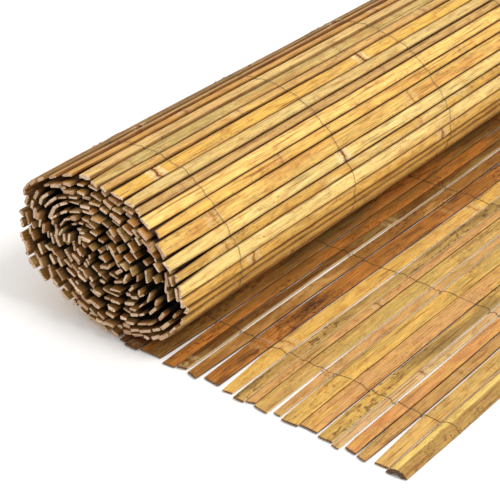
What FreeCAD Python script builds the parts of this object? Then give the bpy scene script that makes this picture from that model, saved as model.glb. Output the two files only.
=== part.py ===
import FreeCAD, Part
import math
import os
import Sketcher

# Split-bamboo fence panel, partly unrolled: a squashed roll of slats bound by rows of wire,
# with a flat tail of slats in front of it. Millimetres, +Z up, +X along the unrolled tail,
# +Y along the slats, origin on the ground under the middle of the whole part.

vector = FreeCAD.Vector
doc = FreeCAD.newDocument("BambooFencePanel")
sheet = doc.addObject("Spreadsheet::Sheet", "Sizes")

drivingSizes = [
    ("slatLength", 1000),
    ("outerEndRaggedness", 4),
    ("innerEndRaggedness", 10),
    ("wireSize", 0.8),
    ("wireClearance", 0.1),
    ("wireRowCount", 6),
    ("wireRowInset", 75),
    # The squashed roll, an ellipse leaning down towards the tail, and its hollow core
    ("rollLongRadius", 103),
    ("rollShortRadius", 75.5),
    ("rollLean", 16.5),
    ("coreLongRadius", 17),
    ("coreShortRadius", 6),
    # How far the core lies from the middle, up along the lean, so that the turns are looser below it
    ("coreShift", 9),
    ("coreShiftPower", 1.5),
    # The flattened side of the roll, above the tail. Directions are degrees round the roll's middle
    ("dentShare", 0.065),
    ("dentDirection", 30),
    ("dentSpread", 22),
    # The roll's near end stands out on its low outer side and back on its upper side
    ("endStandsOut", 11),
    ("standsOutDirection", 198),
    ("standsOutSpread", 28),
    ("endSetBack", 8),
    ("setBackDirection", 60),
    ("setBackSpread", 45),
    # The hollows in the roll's near end, where the slats end further back
    ("hollowDepth", 18),
    ("hollowRadius", 13),
    ("innermostWidthShare", 0.62),
    ("widthGainPerTurn", 0.06),
    # Slats of the roll
    ("rollSlatWidth", 12.2),
    ("rollSlatWidthSpread", 0.32),
    ("rollSlatThickness", 3.7),
    ("thicknessSpread", 0.26),
    ("slatClearance", 0.7),
    ("barkBevel", 0.9),
    ("layerClearance", 0.3),
    ("looseness", 0.75),
    # Slats of the tail, whose ends lie nearer to one line than the roll's and a little in front of it
    ("tailRaggedness", 3.2),
    ("tailLead", 3),
    ("tailGap", 1.6),
    ("tailThickness", 2.4),
    ("tailChamfer", 0.5),
    ("nearEndNarrowing", 0.18),
    ("nearEndNarrowingSpread", 0.6),
    ("nearEndTaperLength", 70),
    ("edgeSlatHeight", 7),
    ("edgeSlatWall", 2.6),
    # Pitch of each tail slat from the roll to the free edge; the last one is the edge slat
    ("tailPitch01", 7.8),
    ("tailPitch02", 16.5),
    ("tailPitch03", 27),
    ("tailPitch04", 16),
    ("tailPitch05", 12),
    ("tailPitch06", 15.5),
    ("tailPitch07", 20.2),
    ("tailPitch08", 17.7),
    ("tailPitch09", 13.6),
    ("tailPitch10", 9),
    ("tailPitch11", 17),
    ("tailPitch12", 11.6),
    ("tailPitch13", 18.4),
    ("tailPitch14", 19.4),
    ("tailPitch15", 16.4),
    ("tailPitch16", 10.1),
    ("tailPitch17", 14.9),
    ("tailPitch18", 12.8),
    ("tailPitch19", 16.6),
    ("tailPitch20", 21.3),
]

for row, (alias, value) in enumerate(drivingSizes, 1):
    sheet.set("A%d" % row, alias)
    sheet.set("B%d" % row, str(value))
    sheet.setAlias("B%d" % row, alias)
doc.recompute()


def size(alias):
    return float(getattr(sheet, alias))


def wave(number, step):
    # An even but unordered spread of values from -1 to 1, the same in every build
    return 2 * ((number * step) % 1.0) - 1


widthStep, thicknessStep, endStep, tiltStep, floatStep = 0.618034, 0.754878, 0.569840, 0.414214, 0.324718


def raggedEnd(number, turns):
    # Most ends lie nearly flush and a few stand out, more so inside the roll than round it
    inwards = min(1, turns / 2)
    reach = size("outerEndRaggedness") * (1 - inwards) + size("innerEndRaggedness") * inwards
    return reach * wave(number, endStep) * abs(wave(number, endStep)) ** 3


def speedOn(turns):
    # Distance along the spiral for each turn at this place
    step = 0.001
    return (guidePoint(turns + step) - guidePoint(turns)).Length / step


# Part 1: the line that the outer faces of the rolled slats follow
lean = math.radians(size("rollLean"))
slatBase = size("wireSize") + size("wireClearance")


def ellipseDrop(longRadius, shortRadius):
    # Height of a leaning ellipse's centre above its lowest point
    return math.hypot(longRadius * math.sin(lean), shortRadius * math.cos(lean))


lowestAngle = math.atan2(-size("rollShortRadius") * math.cos(lean), size("rollLongRadius") * math.sin(lean))
rollCentreHeight = slatBase + ellipseDrop(size("rollLongRadius"), size("rollShortRadius"))
rollHalfWidth = math.hypot(size("rollLongRadius") * math.cos(lean), size("rollShortRadius") * math.sin(lean))
tangentOffset = (
    math.sin(lean)
    * math.cos(lean)
    * (size("rollLongRadius") ** 2 - size("rollShortRadius") ** 2)
    / ellipseDrop(size("rollLongRadius"), size("rollShortRadius"))
)

# The origin is halfway between the roll's outer side and the free edge
tailPitches = [size(alias) for alias, value in drivingSizes if alias.startswith("tailPitch")]
tailLength = sum(tailPitches)
rollCentreX = -(tangentOffset + tailLength - rollHalfWidth) / 2
tailStartX = rollCentreX + tangentOffset

# Hollows in the roll's near end: shares of the long radius away from the roll's middle
hollows = [
    vector(rollCentreX, 0, rollCentreHeight) + vector(sidewards, 0, upwards) * size("rollLongRadius")
    for sidewards, upwards in ((0.45, 0.15), (0.56, -0.08), (0.79, -0.19))
]

# Two layers lie as far apart as the thickest slat and both strands of the wire need
turnPitchShort = (
    size("rollSlatThickness") * (1 + size("thicknessSpread")) + 2 * size("wireSize") + size("layerClearance")
)
rollTurns = (size("rollShortRadius") - size("coreShortRadius")) / turnPitchShort
turnPitchLong = (size("rollLongRadius") - size("coreLongRadius")) / rollTurns


def nearness(sidewards, upwards, direction, spread):
    # 1 in the named direction round the roll's middle, fading to 0 on both sides of it
    away = (math.degrees(math.atan2(upwards, sidewards)) - size(direction) + 180) % 360 - 180
    return math.exp(-((away / size(spread)) ** 2))


def guidePoint(turns):
    # A point of the spiral after so many turns, counted inwards from where the tail leaves the ground
    angle = lowestAngle - 2 * math.pi * turns
    along = (size("rollLongRadius") - turnPitchLong * turns) * math.cos(angle)
    along -= size("coreShift") * (turns / rollTurns) ** size("coreShiftPower")
    across = (size("rollShortRadius") - turnPitchShort * turns) * math.sin(angle)
    sidewards = along * math.cos(lean) + across * math.sin(lean)
    upwards = across * math.cos(lean) - along * math.sin(lean)
    dent = 1 - size("dentShare") * nearness(sidewards, upwards, "dentDirection", "dentSpread")
    return vector(rollCentreX + sidewards * dent, 0, rollCentreHeight + upwards * dent)


def furtherAlong(turns, distance):
    # The place on the spiral whose straight distance from the given place is the one asked for
    reached = turns
    for attempt in range(6):
        covered = (guidePoint(reached) - guidePoint(turns)).Length
        reached += (distance - covered) / speedOn(reached)
    return reached


# Part 2: one rolled slat, seen on its end
class RolledSlat:
    def __init__(self, number, start):
        self.number = number
        spread = size("rollSlatWidthSpread") * wave(number, widthStep)
        tightness = min(1, size("innermostWidthShare") + size("widthGainPerTurn") * (rollTurns - start))
        self.width = size("rollSlatWidth") * (1 + spread) * tightness
        thicker = size("thicknessSpread") * wave(number, thicknessStep)
        self.thickness = size("rollSlatThickness") * (1 + thicker)
        self.place(start)

    def place(self, start):
        self.start = start
        self.end = furtherAlong(start, self.width)
        first = guidePoint(self.start)
        along = (guidePoint(self.end) - first).normalize()
        inward = vector(along.z, 0, -along.x)
        # The slack between two layers lets a slat float inwards and tilt a little
        middle = (self.start + self.end) / 2
        layerPitch = (guidePoint(middle) - guidePoint(middle + 1)).Length
        bulge = (guidePoint(middle) - (guidePoint(self.start) + guidePoint(self.end)) * 0.5).Length
        slack = max(0, layerPitch - self.thickness - bulge - size("layerClearance"))
        slack = slack * size("looseness") * min(1, self.start)
        floating = slack * (1 + wave(self.number, floatStep)) / 4
        tilt = slack / 2 * wave(self.number, tiltStep)
        nearFloat = floating + max(0, tilt)
        farFloat = floating + max(0, -tilt)
        face = (along * self.width + inward * (farFloat - nearFloat)).normalize()
        depth = vector(face.z, 0, -face.x)
        corner = first + inward * nearFloat
        bevel = size("barkBevel")
        self.outline = [
            corner + face * bevel,
            corner + face * (self.width - bevel),
            corner + face * self.width + depth * bevel,
            corner + face * (self.width - bevel / 2) + depth * self.thickness,
            corner + face * bevel / 2 + depth * self.thickness,
            corner + depth * bevel,
        ]

    def gapTo(self, other):
        # The widest strip that parts the two outlines, below zero where they overlap
        return max(gapBeyond(self.outline, other.outline), gapBeyond(other.outline, self.outline))

    def middle(self):
        return sum(self.outline, vector()) * (1 / len(self.outline))

    def hollowShare(self):
        # How near the slat lies to the middle of a hollow in the roll's end, from 0 to 1
        distances = [(self.middle() - hollow).Length / size("hollowRadius") for hollow in hollows]
        return max(0, 1 - min(distances) ** 2)

    def endShift(self):
        # How far the slat lies back from the roll's near end, most in the outermost turn
        sidewards, upwards = self.middle().x - rollCentreX, self.middle().z - rollCentreHeight
        shift = size("endSetBack") * nearness(sidewards, upwards, "setBackDirection", "setBackSpread")
        shift -= size("endStandsOut") * nearness(sidewards, upwards, "standsOutDirection", "standsOutSpread")
        return shift * (1 - self.start / rollTurns) ** 2

    def solid(self):
        setBack = size("hollowDepth") * self.hollowShare()
        wire = Part.makePolygon(self.outline + self.outline[:1])
        solid = Part.Face(wire).extrude(vector(0, size("slatLength") - setBack, 0))
        shift = raggedEnd(self.number, self.start) + self.endShift()
        solid.translate(vector(0, shift - size("slatLength") / 2 + setBack, 0))
        return solid


def gapBeyond(outline, other):
    # How far the other outline stands off the side of this one that faces it
    gaps = []
    for start, end in zip(outline, outline[1:] + outline[:1]):
        along = (end - start).normalize()
        outward = vector(-along.z, 0, along.x)
        gaps.append(min((point - start).dot(outward) for point in other))
    return max(gaps)


def nextSlat(previous):
    # The next slat stands clear of the one before it by the wire's twist between them
    slat = RolledSlat(previous.number + 1, furtherAlong(previous.end, 2 * size("slatClearance")))
    for attempt in range(8):
        excess = slat.gapTo(previous) - size("slatClearance")
        slat.place(max(previous.end, slat.start - excess / speedOn(slat.start)))
    return slat


rolledSlats = [RolledSlat(1, furtherAlong(0, size("slatClearance")))]
while rolledSlats[-1].end < rollTurns:
    rolledSlats.append(nextSlat(rolledSlats[-1]))

for turn in range(math.ceil(rolledSlats[-1].start)):
    slats = [slat for slat in rolledSlats if turn <= slat.start < turn + 1]
    feature = doc.addObject("Part::Feature", "turn_%02d_slats" % (turn + 1))
    feature.Label = feature.Name
    feature.Shape = Part.makeCompound([slat.solid() for slat in slats])


# Part 3: the tail's flat slats, each padded from its outline as seen from above
# A sketch counts the points of a line or an arc: its start, its end and its centre
startOf, endOf, centreOf = range(1, 4)


def originPlane(body, role):
    return next(feature for feature in body.Origin.OriginFeatures if feature.Role == role)


def newSketch(body, role):
    sketch = body.newObject("Sketcher::SketchObject", body.Name + "_outline")
    sketch.AttachmentSupport = [(originPlane(body, role), "")]
    sketch.MapMode = "FlatFace"
    return sketch


def closedOutline(sketch, corners):
    # corners: the two expressions of each corner, along the sketch's own axes
    places = [
        vector(sketch.evalExpression(along), sketch.evalExpression(across), 0) for along, across in corners
    ]
    for number, (start, end) in enumerate(zip(places, places[1:] + places[:1])):
        sketch.addGeometry(Part.LineSegment(start, end))
    for number in range(len(corners)):
        following = (number + 1) % len(corners)
        sketch.addConstraint(Sketcher.Constraint("Coincident", number, endOf, following, startOf))
    for number, corner in enumerate(corners):
        for kind, expression in zip(("DistanceX", "DistanceY"), corner):
            index = sketch.addConstraint(Sketcher.Constraint(kind, -1, 1, number, startOf, 0))
            sketch.setExpression("Constraints[%d]" % index, expression)


def tailLeft(number):
    # Where a tail slat starts: everything between the roll and it
    before = ["Sizes.tailPitch%02d" % earlier for earlier in range(1, number)]
    return " + ".join(["%.6f mm" % tailStartX] + [name + " * 1 mm" for name in before])


def tailBody(name, number):
    body = doc.addObject("PartDesign::Body", name)
    body.Label = name
    body.setExpression(".Placement.Base.x", tailLeft(number) + " + Sizes.tailGap * 1 mm")
    nearEnd = "(Sizes.tailRaggedness * %.6f - Sizes.slatLength / 2 - Sizes.tailLead) * 1 mm"
    body.setExpression(".Placement.Base.y", nearEnd % wave(number, endStep))
    body.setExpression(".Placement.Base.z", "(Sizes.wireSize + Sizes.wireClearance) * 1 mm")
    return body


flatBodies = []
edgeNumber = len(tailPitches)
for number in range(1, edgeNumber):
    body = tailBody("tail_slat_%02d" % number, number)
    sketch = newSketch(body, "XY_Plane")
    width = "(Sizes.tailPitch%02d - Sizes.tailGap)" % number
    narrowing = "%s * Sizes.nearEndNarrowing * (1 + Sizes.nearEndNarrowingSpread * %.6f)" % (
        width,
        wave(number, widthStep),
    )
    leftShare = (1 + wave(number, tiltStep)) / 2
    closedOutline(
        sketch,
        [
            ("%s * %.6f" % (narrowing, leftShare), "0"),
            ("%s - %s * %.6f" % (width, narrowing, 1 - leftShare), "0"),
            (width, "Sizes.nearEndTaperLength"),
            (width, "Sizes.slatLength"),
            ("0", "Sizes.slatLength"),
            ("0", "Sizes.nearEndTaperLength"),
        ],
    )
    pad = body.newObject("PartDesign::Pad", body.Name + "_pad")
    pad.Profile = sketch
    pad.setExpression(
        "Length", "Sizes.tailThickness * (1 + Sizes.thicknessSpread * %.6f)" % wave(number, thicknessStep)
    )
    sketch.Visibility = False
    flatBodies.append((body, pad))

doc.recompute()
tailTops = []
for body, pad in flatBodies:
    top = pad.Shape.BoundBox.ZMax
    tailTops.append(slatBase + pad.Length.Value)
    longEdges = [
        "Edge%d" % (index + 1)
        for index, edge in enumerate(pad.Shape.Edges)
        if edge.CenterOfMass.z > top * 0.99 and edge.BoundBox.YLength > edge.BoundBox.XLength
    ]
    chamfer = body.newObject("PartDesign::Chamfer", body.Name + "_worn_edges")
    chamfer.Base = (pad, longEdges)
    chamfer.setExpression("Size", "Sizes.tailChamfer")
doc.recompute()

# Part 4: the edge slat, an arched piece of bark, hollow underneath
body = tailBody("edge_slat", edgeNumber)
sketch = newSketch(body, "XZ_Plane")
edgeWidth = "(Sizes.tailPitch%02d - Sizes.tailGap)" % edgeNumber
edgeRadius = "((%s / 2) ^ 2 + Sizes.edgeSlatHeight ^ 2) / (2 * Sizes.edgeSlatHeight)" % edgeWidth
edgeHalfWidth = sketch.evalExpression(edgeWidth) / 2
archRadius = sketch.evalExpression(edgeRadius)
archCentre = vector(edgeHalfWidth, size("edgeSlatHeight") - archRadius, 0)
archWalls = [archRadius, archRadius - size("edgeSlatWall")]
footAngles = [math.asin(-archCentre.y / radius) for radius in archWalls]
for radius, footAngle in zip(archWalls, footAngles):
    circle = Part.Circle(archCentre, vector(0, 0, 1), radius)
    sketch.addGeometry(Part.ArcOfCircle(circle, footAngle, math.pi - footAngle))
for side in (1, -1):
    outer, inner = (
        vector(edgeHalfWidth + side * radius * math.cos(angle), 0, 0)
        for radius, angle in zip(archWalls, footAngles)
    )
    sketch.addGeometry(Part.LineSegment(outer, inner))
outerArc, innerArc, rightFoot, leftFoot = range(4)
for first, firstPoint, second, secondPoint in (
    (outerArc, startOf, rightFoot, startOf),
    (rightFoot, endOf, innerArc, startOf),
    (outerArc, endOf, leftFoot, startOf),
    (leftFoot, endOf, innerArc, endOf),
    (outerArc, centreOf, innerArc, centreOf),
):
    sketch.addConstraint(Sketcher.Constraint("Coincident", first, firstPoint, second, secondPoint))
for foot in (rightFoot, leftFoot):
    for point in (startOf, endOf):
        sketch.addConstraint(Sketcher.Constraint("PointOnObject", foot, point, -1))
for constraint, expression in (
    (Sketcher.Constraint("DistanceX", -1, 1, outerArc, centreOf, edgeHalfWidth), edgeWidth + " / 2"),
    (Sketcher.Constraint("Radius", outerArc, archWalls[0]), edgeRadius),
    (Sketcher.Constraint("Radius", innerArc, archWalls[1]), edgeRadius + " - Sizes.edgeSlatWall"),
    (Sketcher.Constraint("DistanceX", leftFoot, startOf, rightFoot, startOf, 2 * edgeHalfWidth), edgeWidth),
):
    sketch.setExpression("Constraints[%d]" % sketch.addConstraint(constraint), expression)
pad = body.newObject("PartDesign::Pad", body.Name + "_pad")
pad.Profile = sketch
pad.Reversed = True
pad.setExpression("Length", "Sizes.slatLength")
sketch.Visibility = False
doc.recompute()


# Part 5: the rows of binding wire
def sideways(start, end):
    # Unit step from a wire's path to the side away from the slats
    along = (end - start).normalize()
    return vector(along.z, 0, -along.x)


outerTurn = [slat for slat in rolledSlats if slat.start < 1]
crossings = [guidePoint(0)]
for slat, following in zip(outerTurn, rolledSlats[1:]):
    crossings.append(guidePoint((slat.end + following.start) / 2))
crossings.reverse()
outerTurn.reverse()
wireLift = size("wireClearance") + max(
    (corner - start).dot(sideways(start, end))
    for start, end, slat in zip(crossings, crossings[1:], outerTurn)
    for corner in slat.outline
)

# Round the outer turn from where the next turn covers it, down to the ground
path = []
for before, here, after in zip(crossings, crossings[1:], crossings[2:]):
    path.append(here + (sideways(before, here) + sideways(here, after)).normalize() * wireLift)

# Under the tail and up round the arched edge slat
tailEndX = tailStartX + tailLength
archCentre = vector(tailEndX - edgeHalfWidth, 0, slatBase + archCentre.y)
footAngle = footAngles[0]
path.append(vector(tailStartX, 0, size("wireSize")))
path.append(vector(tailEndX + size("wireClearance"), 0, size("wireSize")))
lastFlatTop = tailTops[-1] + size("wireClearance")
archBends = 6
halfStep = (math.pi / 2 - footAngle) / archBends
for bend in range(archBends):
    angle = footAngle + halfStep * (2 * bend + 1)
    reach = (archRadius + size("wireClearance")) / math.cos(halfStep)
    point = archCentre + vector(reach * math.cos(angle), 0, reach * math.sin(angle))
    if point.x > archCentre.x or point.z > lastFlatTop:
        path.append(point)

# Back over the tail, dropping from one slat's top to the next
right = tailEndX - tailPitches.pop()
while tailPitches:
    left = right - tailPitches.pop() + size("tailGap")
    height = tailTops.pop() + size("wireClearance")
    path.append(vector(right - size("tailChamfer"), 0, height))
    path.append(vector(left + size("tailChamfer"), 0, height))
    right = left - size("tailGap")

farSide = [path[0] + sideways(path[0], path[1]) * size("wireSize")]
for before, here, after in zip(path, path[1:], path[2:]):
    first, second = sideways(before, here), sideways(here, after)
    farSide.append(here + (first + second) * (size("wireSize") / (1 + first.dot(second))))
farSide.append(path[-1] + sideways(path[-2], path[-1]) * size("wireSize"))
strand = Part.Face(Part.makePolygon(path + farSide[::-1] + path[:1]))

rowCount = int(size("wireRowCount"))
outermostRow = size("slatLength") / 2 - size("wireRowInset")
for row in range(rowCount):
    feature = doc.addObject("Part::Feature", "wire_row_%d" % (row + 1))
    feature.Label = feature.Name
    feature.Shape = strand.extrude(vector(0, size("wireSize"), 0))
    rowY = outermostRow * (2 * row / (rowCount - 1) - 1)
    feature.Placement.Base = vector(0, rowY - size("wireSize") / 2, 0)
doc.recompute()

subParts = [item for item in doc.Objects if item.TypeId in ("PartDesign::Body", "Part::Feature")]
for item in doc.Objects:
    if "Invalid" in item.State or "Error" in item.State:
        raise RuntimeError("%s failed: %s" % (item.Name, item.State))
for item in subParts:
    if item.Shape.isNull() or not item.Shape.isValid():
        raise RuntimeError("%s has no valid shape" % item.Name)

os.makedirs("parts", exist_ok=True)
for item in subParts:
    item.Shape.exportStep("parts/%s.step" % item.Label)
print("%d sub-parts, %d rolled slats" % (len(subParts), len(rolledSlats)))
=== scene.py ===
import itertools
import math
import random

import bmesh
import bpy
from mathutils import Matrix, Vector


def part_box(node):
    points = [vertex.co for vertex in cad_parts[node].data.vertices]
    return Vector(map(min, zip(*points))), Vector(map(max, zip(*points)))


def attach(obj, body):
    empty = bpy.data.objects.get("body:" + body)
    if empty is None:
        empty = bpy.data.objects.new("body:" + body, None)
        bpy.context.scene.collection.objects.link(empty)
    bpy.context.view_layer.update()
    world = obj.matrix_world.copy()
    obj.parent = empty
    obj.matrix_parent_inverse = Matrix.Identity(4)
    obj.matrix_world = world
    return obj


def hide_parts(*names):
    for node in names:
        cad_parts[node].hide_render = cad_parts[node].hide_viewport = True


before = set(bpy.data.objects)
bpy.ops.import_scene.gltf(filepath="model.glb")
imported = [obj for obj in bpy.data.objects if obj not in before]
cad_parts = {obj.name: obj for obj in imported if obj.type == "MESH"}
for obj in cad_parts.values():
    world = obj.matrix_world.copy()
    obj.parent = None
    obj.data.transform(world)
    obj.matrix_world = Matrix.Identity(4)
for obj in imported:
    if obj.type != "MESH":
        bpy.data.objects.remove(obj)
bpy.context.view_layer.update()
print("frame loaded:", len(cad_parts), "nodes")

millimetre = 0.001
upAxis = Vector((0, 0, 1))
slatAxis = Vector((0, 1, 0))


# Helpers for trees and colours
def add(tree, kind, inputs=None, **settings):
    made = tree.nodes.new(kind)
    for name, value in settings.items():
        setattr(made, name, value)
    for place, value in (inputs or {}).items():
        socket = made.inputs[place]
        if isinstance(value, bpy.types.NodeSocket):
            tree.links.new(value, socket)
        else:
            socket.default_value = value
    return made


def maths(tree, operation, *values, clamp=False):
    return add(tree, "ShaderNodeMath", dict(enumerate(values)), operation=operation, use_clamp=clamp).outputs[0]


def vectors(tree, operation, *values):
    return add(tree, "ShaderNodeVectorMath", dict(enumerate(values)), operation=operation).outputs[0]


def plus(tree, first, second):
    return maths(tree, "ADD", first, second)


def minus(tree, first, second):
    return maths(tree, "SUBTRACT", first, second)


def times(tree, first, second):
    return maths(tree, "MULTIPLY", first, second)


def timesPlus(tree, first, second, third):
    return maths(tree, "MULTIPLY_ADD", first, second, third)


def scaled(tree, vector, factor):
    return add(tree, "ShaderNodeVectorMath", {0: vector, "Scale": factor}, operation="SCALE").outputs[0]


def joined(tree, x, y, z):
    return add(tree, "ShaderNodeCombineXYZ", {0: x, 1: y, 2: z}).outputs[0]


def parted(tree, vector):
    return add(tree, "ShaderNodeSeparateXYZ", {0: vector}).outputs[:3]


def remap(tree, value, low, high, newLow=0.0, newHigh=1.0, smooth=False):
    kind = "SMOOTHSTEP" if smooth else "LINEAR"
    inputs = {"Value": value, "From Min": low, "From Max": high, "To Min": newLow, "To Max": newHigh}
    return add(tree, "ShaderNodeMapRange", inputs, interpolation_type=kind).outputs["Result"]


def blended(tree, factor, first, second, blend="MIX"):
    made = add(tree, "ShaderNodeMix", {0: factor, 6: first, 7: second}, data_type="RGBA", blend_type=blend)
    return made.outputs[2]


def noiseAt(tree, place, scale, detail=2.0, roughness=0.5):
    inputs = {"Vector": place, "Scale": scale, "Detail": detail, "Roughness": roughness}
    return add(tree, "ShaderNodeTexNoise", inputs, noise_dimensions="3D")


def newTree(name, kind, inputs, outputs):
    tree = bpy.data.node_groups.new(name, kind)
    for direction, sockets in (("INPUT", inputs), ("OUTPUT", outputs)):
        for label, socketKind, value in sockets:
            socket = tree.interface.new_socket(name=label, in_out=direction, socket_type="NodeSocket" + socketKind)
            if value is not None:
                socket.default_value = value
    return tree, add(tree, "NodeGroupInput").outputs, add(tree, "NodeGroupOutput").inputs


def colour(code):
    # "#RRGGBB" as the eye sees it, to the linear values that Blender wants
    parts = [int(code[place:place + 2], 16) / 255 for place in (1, 3, 5)]
    return tuple([part / 12.92 if part <= 0.04045 else ((part + 0.055) / 1.055) ** 2.4 for part in parts] + [1.0])


def grow(tree, name, mesh, values):
    # Runs a Geometry Nodes tree on a mesh and keeps the result as a plain piece
    source = bpy.data.objects.new(name + "_source", mesh)
    bpy.context.collection.objects.link(source)
    modifier = source.modifiers.new(name, "NODES")
    modifier.node_group = tree
    for socket in tree.interface.items_tree:
        if socket.in_out == "INPUT" and socket.name in values:
            modifier[socket.identifier] = values[socket.name]
    depsgraph = bpy.context.evaluated_depsgraph_get()
    grown = bpy.data.meshes.new_from_object(source.evaluated_get(depsgraph))
    source.modifiers.remove(modifier)
    bpy.data.objects.remove(source)
    grown.name = name
    grown.set_sharp_from_angle(angle=math.radians(values.get("sharpAngle", 38)))
    piece = bpy.data.objects.new(name, grown)
    bpy.context.collection.objects.link(piece)
    return piece


# Reading the slats of a CAD node
def readSlats(nodeName):
    # Each slat's middle, directions, width, thickness and ends, in the order they were made
    shape = bmesh.new()
    shape.from_mesh(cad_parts[nodeName].data)
    bmesh.ops.remove_doubles(shape, verts=shape.verts, dist=0.01 * millimetre)
    slats, seen = [], set()
    for first in shape.verts:
        if first in seen:
            continue
        seen.add(first)
        reached = [first]
        for vert in reached:
            for edge in vert.link_edges:
                other = edge.other_vert(vert)
                if other not in seen:
                    seen.add(other)
                    reached.append(other)
        slats.append(measureSlat([vert.co.copy() for vert in reached]))
    shape.free()
    return slats


def measureSlat(points):
    nearY, farY = min(point.y for point in points), max(point.y for point in points)
    section = [Vector((point.x, 0, point.z)) for point in points if point.y > farY - millimetre]
    centre = sum(section, Vector()) / len(section)
    section.sort(key=lambda point: math.atan2(point.z - centre.z, point.x - centre.x))
    sides = list(zip(section, section[1:] + section[:1]))
    start, end = max(sides, key=lambda side: (side[1] - side[0]).length)  # the flat inner face
    across = (end - start).normalized()
    outward = across.cross(slatAxis)
    if outward.dot(centre - start) < 0:
        across.negate()
        outward.negate()
    low, high = (min(p.dot(across) for p in section), max(p.dot(across) for p in section))
    base, top = (min(p.dot(outward) for p in section), max(p.dot(outward) for p in section))
    return {
        "middle": across * (low + high) / 2 + outward * (base + top) / 2,
        "across": across,
        "outward": outward,
        "width": high - low,
        "thickness": top - base,
        "start": nearY,
        "length": farY - nearY,
        # how it lies on the roll, set later for the tilted slats
        "tilt": 0.0,
        "lift": 0.0,
    }


# The blanks that the slats are cut from
# How large each end's inner face is, and how much of its edge is split side
endFace = {"share": 0.62, "rim": 0.6}


def makeBlank(name, section, rings):
    # A slat one unit wide, long and thick. section: place across and through, trims in mm, rim share
    shape = bmesh.new()
    trim = shape.verts.layers.float_vector.new("trim")
    rim = shape.verts.layers.float.new("rim")
    cut = shape.verts.layers.float.new("cut")

    def corner(u, v, w, trimU, trimW, rimShare, cutShare):
        vert = shape.verts.new((u, v, w))
        vert[trim] = (trimU * millimetre, 0, trimW * millimetre)
        vert[rim] = rimShare
        vert[cut] = cutShare
        return vert

    loops = []
    for v in rings:
        atEnd = float(v in (rings[0], rings[-1]))
        loops.append([corner(u, v, w, tu, tw, share, atEnd) for u, w, tu, tw, share in section])
    count = len(section)
    for here, following in zip(loops, loops[1:]):
        for place in range(count):
            after = (place + 1) % count
            shape.faces.new((here[place], here[after], following[after], following[place]))
    middleU = sum(u for u, *rest in section) / count
    middleW = sum(w for u, w, *rest in section) / count
    for loop, v in ((loops[0], rings[0]), (loops[-1], rings[-1])):
        inner = []
        for vert in loop:
            u = middleU + (vert.co.x - middleU) * endFace["share"]
            w = middleW + (vert.co.z - middleW) * endFace["share"]
            inner.append(corner(u, v, w, 0, 0, endFace["rim"], 1.0))
            inner[-1][trim] = Vector(vert[trim]) * endFace["share"]
        for place in range(count):
            after = (place + 1) % count
            shape.faces.new((loop[place], loop[after], inner[after], inner[place]))
        shape.faces.new(inner)
    bmesh.ops.recalc_face_normals(shape, faces=shape.faces)
    mesh = bpy.data.meshes.new(name)
    shape.to_mesh(mesh)
    shape.free()
    blank = bpy.data.objects.new(name, mesh)
    bpy.context.collection.objects.link(blank)
    return blank


def ringPlaces(ends, step):
    # Rings close together at both ends, and evenly spaced between
    count = max(1, round((1 - 2 * ends[-1]) / step))
    between = [ends[-1] + (1 - 2 * ends[-1]) * place / count for place in range(1, count)]
    return ends + between + [1 - place for place in reversed(ends)]


# Each corner: place across and through the slat, trims in mm, and how much of it takes the split side's tone. On the
# arched section that share also runs onto the bark near each edge, as painted shade on the flanks
# The fine section has a rounded bark edge, the arched one a rounder one, and the plain one is for hidden slats
innerFace = [
    (-0.5, -0.5, 0.35, 0.0, 0.8), (-0.17, -0.5, 0, 0.1, 0.5), (0.17, -0.5, 0, 0.1, 0.5), (0.5, -0.5, -0.35, 0.0, 0.8),
]
fineSection = innerFace + [
    (0.5, 0.5, 0.0, -0.9, 1.0), (0.5, 0.5, -0.2, -0.45, 0.5), (0.5, 0.5, -0.8, -0.22, 0.1),
    (0.5, 0.5, -2.2, -0.08, 0.0), (0.15, 0.5, 0, 0, 0.0), (-0.15, 0.5, 0, 0, 0.0), (-0.5, 0.5, 2.2, -0.08, 0.0),
    (-0.5, 0.5, 0.8, -0.22, 0.1), (-0.5, 0.5, 0.2, -0.45, 0.5), (-0.5, 0.5, 0.0, -0.9, 1.0),
]
# the bark corners near each edge carry side shares that paint shade on the arch's flanks
archedSection = innerFace + [
    (0.5, 0.5, 0.0, -1.5, 1.0), (0.5, 0.5, -0.15, -0.95, 0.9), (0.5, 0.5, -0.7, -0.6, 0.45),
    (0.5, 0.5, -1.9, -0.25, 0.12), (0.5, 0.5, -3.6, -0.05, 0.0), (0, 0.5, 0, 0, 0.0),
    (-0.5, 0.5, 3.6, -0.05, 0.0), (-0.5, 0.5, 1.9, -0.25, 0.12), (-0.5, 0.5, 0.7, -0.6, 0.45),
    (-0.5, 0.5, 0.15, -0.95, 0.9), (-0.5, 0.5, 0.0, -1.5, 1.0),
]
plainSection = [
    (-0.5, -0.5, 0.4, 0.0, 0.6), (0.5, -0.5, -0.4, 0.0, 0.6), (0.5, 0.5, 0, -0.8, 0.8),
    (0.5, 0.5, -0.8, 0, 0.2), (-0.5, 0.5, 0.8, 0, 0.2), (-0.5, 0.5, 0, -0.8, 0.8),
]
# Where the rings near a slat's end stand, as shares of its length
fineEnds = [0, 0.0012, 0.003, 0.006, 0.010, 0.016, 0.024, 0.034, 0.046, 0.060]
plainEnds = [0, 0.0015, 0.006, 0.016, 0.05]


# The slow sway that slats and wires share
swayShape = {
    "stretch": (1.2, 1.6, 1.2),
    "scale": 2.1,
    "sidewards": 2.4,
    # heights between which it begins to work upwards too
    "liftFrom": 6 * millimetre,
    "liftTo": 80 * millimetre,
}


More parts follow.
